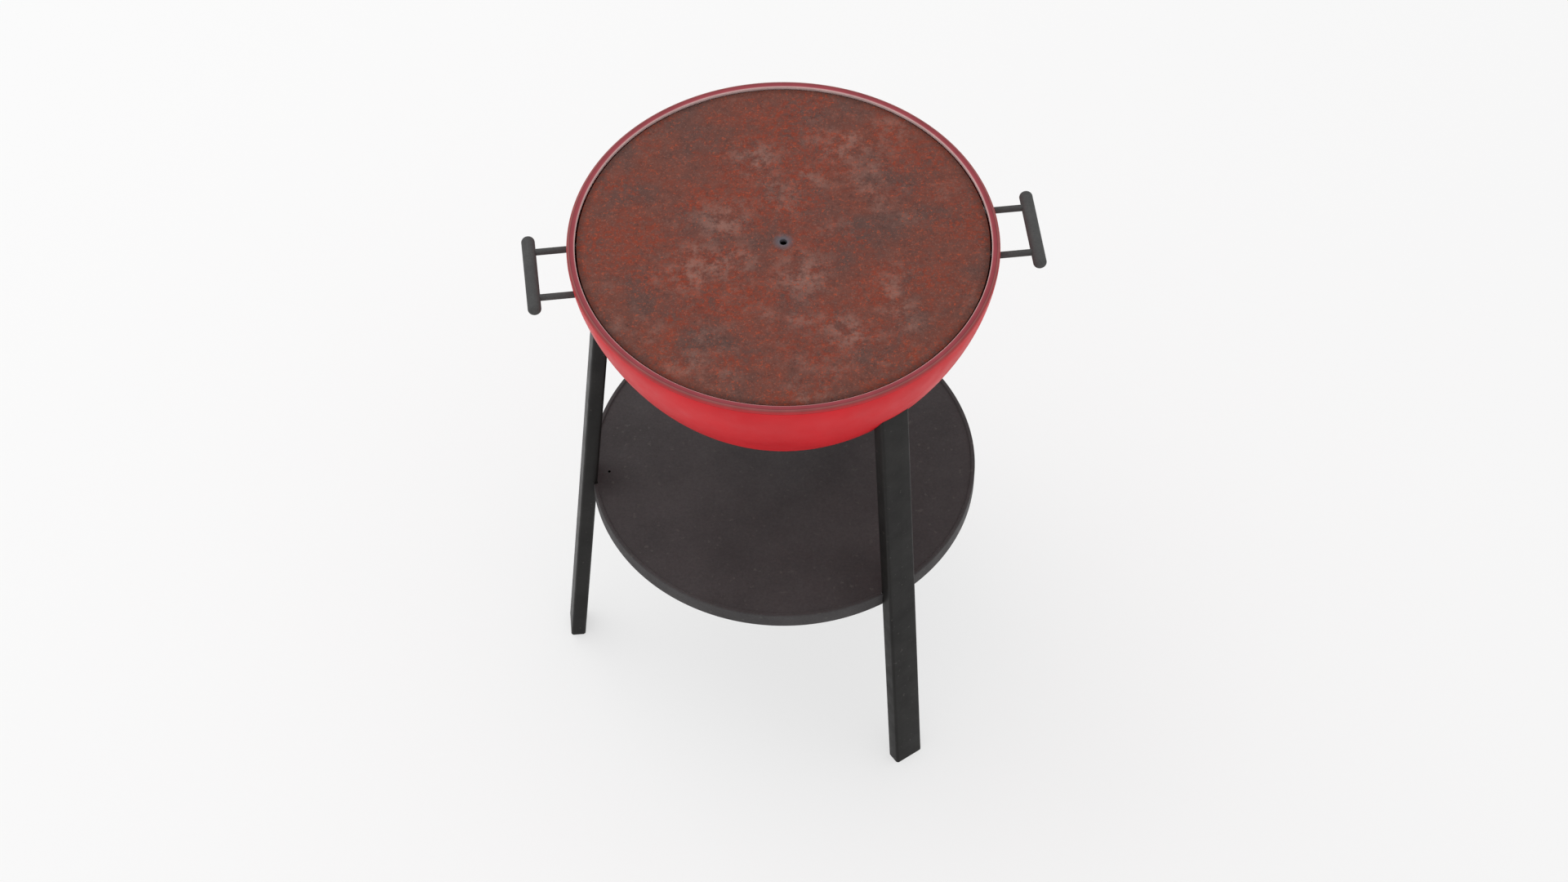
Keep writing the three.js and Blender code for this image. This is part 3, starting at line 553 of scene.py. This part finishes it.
shelfSection += [(outside - shelf["sheet"] + 0.0003, skirtEnd), (outside - shelf["sheet"], skirtEnd + 0.0003)]
shelfSection += [(outside - shelf["sheet"], deckTop - shelf["sheet"] - 0.001)]
shelfSection += [(outside - shelf["sheet"] - 0.001, deckTop - shelf["sheet"]), (0.0008, deckTop - shelf["sheet"])]
shelfPan = turnedPiece("shelf_pan", shelfSection, 180, False)
for angle in leg["angles"].values():
    notch = roundedBar("notch", leg["depth"] + 2 * shelf["gap"], leg["width"] + 2 * shelf["gap"], leg["corner"],
                       0.30, 0.45)
    settle(notch, (leg["foot"], 0, 0), (0, -leg["lean"], 0))
    settle(notch, (0, 0, 0), (0, 0, angle))
    carve(shelfPan, notch)
    discard(notch)
smoothOff(shelfPan, 35)
fit(shelfPan, "shelf")
print("shelf", len(shelfPan.data.polygons))

# Handles: a grip on two rods at each side
handle = {"gripRadius": 0.009, "gripHalf": 0.064, "round": 0.007, "grip": 0.333, "rod": 0.0045, "spacing": 0.078,
          "seat": 0.003}
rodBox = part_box("handle_rod_right_a")
rodHeight = (rodBox[0][2] + rodBox[1][2]) / 2
gripEnd = roundCorner(handle["gripRadius"] - handle["round"], handle["gripHalf"] - handle["round"], handle["round"],
                      90, 10)
gripSection = gripEnd + [(r, -h) for r, h in gripEnd[::-1]]
gripBar = turnedPiece("grip_bar", gripSection, 56, False)
settle(gripBar, (handle["grip"], 0, rodHeight), (90, 0, 0))
rodStart, rodEnd = rodBox[0][0], rodBox[1][0]
rodSection = [(handle["rod"] - 0.0008, 0), (handle["rod"], 0.0008)]
rodSection += [(handle["rod"], rodEnd - rodStart - 0.0005), (handle["rod"] - 0.0005, rodEnd - rodStart)]
rodBar = turnedPiece("rod_bar", rodSection, 40, False)
settle(rodBar, (rodStart, 0, rodHeight), (0, 90, 0))
for hand, angle in (("right", 0), ("left", 180)):
    grip = twin(gripBar, "grip_" + hand, (0, 0, 0), (0, 0, angle))
    fit(grip, "handle_grip_" + hand)
    for mark, side in (("a", -1), ("b", 1)):
        rod = twin(rodBar, "rod_" + hand + "_" + mark, (0, side * handle["spacing"] / 2, 0))
        settle(rod, (0, 0, 0), (0, 0, angle))
        fit(rod, "handle_rod_" + hand + "_" + mark)
discard(legTube, legBore, bowlFill, floorBlock, gripBar, rodBar)
print("legs and handles done")

# Small parts keep their shape and get broken edges
smallParts = {"rod_washer": 0.0004, "rod_nut": 0.0005, "leg_block": 0.0004, "leg_bolt": 0.0005, "foot_plug": 0.0006,
              "shelf_bracket": 0.0005, "shelf_screw": 0.0006, "shelf_rivet": 0.0004, "flange_bolt": 0.0005,
              "flange_nut": 0.0005, "plate_ledge": 0.0006, "ash_flap": 0.0006, "damper": 0.0004}
for nodeName in sorted(nodes):
    width = next((w for start, w in smallParts.items() if nodeName.startswith(start)), None)
    if width is not None or nodeName in ("tuyere_body", "blast_pipe"):
        fit(finishedCopy(nodeName, width or 0.0008), nodeName)
print("small parts done")

# Floor and light
dropSelection()
bpy.ops.mesh.primitive_plane_add(size=studio["floorSize"], location=(0, 0, -0.0005))
floor = bpy.context.object
floor.name = "studio_floor"
floorLook, tree, shader, place = startLook("studio_floor", 0.9)
shade = ramp(tree, grain(tree, place, 3, 2), [(0.3, tone(studio["floorTone"])), (0.7, tone(studio["floorTone"]))])
tree.links.new(shade, shader.inputs["Base Color"])
shader.inputs["Emission Color"].default_value = (1, 1, 1, 1)
shader.inputs["Emission Strength"].default_value = studio["floorGlow"]
shader.inputs["Specular IOR Level"].default_value = 0.1
floor.data.materials.append(floorLook)

sky = bpy.data.worlds.new("studio_sky")
sky.use_nodes = True
sky.node_tree.nodes["Background"].inputs["Color"].default_value = (1, 1, 1, 1)
sky.node_tree.nodes["Background"].inputs["Strength"].default_value = studio["sky"]
bpy.context.scene.world = sky
keyData = bpy.data.lights.new("key_light", "AREA")
keyData.energy = studio["keyPower"]
keyData.size = studio["keySize"]
keyLight = bpy.data.objects.new("key_light", keyData)
keyLight.location = studio["keyPlace"]
aim = math.atan2(math.hypot(*studio["keyPlace"][:2]), studio["keyPlace"][2] - 0.6)
keyLight.rotation_euler = (aim, 0, math.atan2(studio["keyPlace"][0], -studio["keyPlace"][1]))
bpy.context.scene.collection.objects.link(keyLight)
print("floor and light set")
